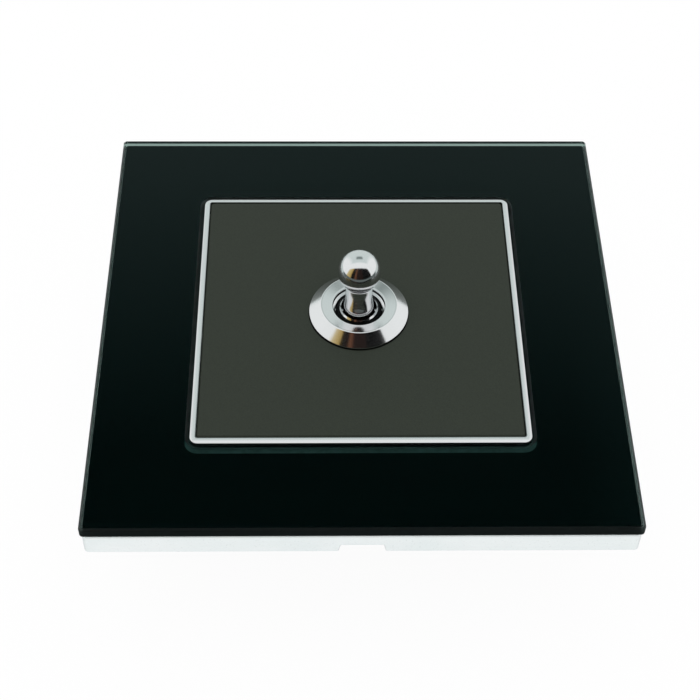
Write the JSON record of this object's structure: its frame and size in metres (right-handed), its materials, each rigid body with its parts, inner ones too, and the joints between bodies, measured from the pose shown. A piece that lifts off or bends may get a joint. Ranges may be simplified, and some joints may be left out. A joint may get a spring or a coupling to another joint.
{
  "type": "toggle light switch",
  "caption": "Wall light switch with a ball-ended toggle lever in a conical collar, on a square black glass plate with a metal insert and a white frame behind.",
  "frame": {"origin": "centre of the plate in the plane of the wall, midway between the wall screws", "axes": "+Z out of the wall towards the user, +Y up on the wall, +X to the user's right"},
  "size_m": [0.086, 0.086, 0.0451],
  "materials": {
    "black_glass": "polished, black behind",
    "foam_tape": "matte foam",
    "white_plastic": "moulded, half gloss",
    "chrome_plate": "bright plated",
    "satin_graphite": "satin",
    "black_plastic": "moulded, fine grain",
    "zinc_steel": "zinc plated",
    "fibre_sheet": "matte",
    "phenolic": "moulded, half gloss",
    "brass": "machined",
    "screw_steel": "zinc plated",
    "contact_silver": "polished",
    "nylon": "moulded",
    "spring_steel": "drawn wire"
  },
  "bodies": {
    "switch": {"insert_plate": "satin_graphite", "module_carrier": "black_plastic", "mounting_yoke": "zinc_steel", "collar_nut": "chrome_plate", "threaded_bushing": "chrome_plate", "lock_washer": "zinc_steel", "hex_nut": "zinc_steel", "switch_bracket": "zinc_steel", "bracket_insulator": "fibre_sheet", "switch_body": "phenolic", "terminal_common": "brass", "terminal_one": "brass", "terminal_two": "brass", "terminal_screws": "screw_steel", "fixed_contact_tips": "contact_silver", "rear_cover": "phenolic", "cover_screws": "screw_steel", "pivot_pin": "screw_steel"},
    "face_plate": {"glass_panel": "black_glass", "glass_tape": "foam_tape", "panel_frame": "white_plastic", "trim_ring": "chrome_plate"},
    "lever": {"toggle_lever": "chrome_plate", "plunger_spring": "spring_steel"},
    "plunger": {"plunger": "nylon"},
    "rocker": {"rocker_contact": "brass", "moving_contact_tips": "contact_silver"}
  },
  "joints": [
    {"name": "lever_throw", "type": "hinge", "parent": "switch", "child": "lever", "pos_m": [0, 0, 0.0073], "axis": [1, 0, 0], "range_deg": [0, 20]},
    {"name": "rocker_tilt", "type": "hinge", "parent": "switch", "child": "rocker", "pos_m": [0, 0, -0.01017], "axis": [1, 0, 0], "range_deg": [-12, 0]},
    {"name": "plunger_press", "type": "slide", "parent": "lever", "child": "plunger", "axis": [0, 0.1736, 0.9848], "range_m": [0, 0.0006], "stiffness_N_per_m": 300, "springref_m": -0.001, "deforming": ["plunger_spring"]},
    {"name": "face_lift", "type": "slide", "parent": "switch", "child": "face_plate", "axis": [0, 0, 1], "range_m": [0, 0.03]}
  ],
  "couplings": [
    {"joint": "rocker_tilt", "follows": "lever_throw", "ratio": -0.6}
  ]
}
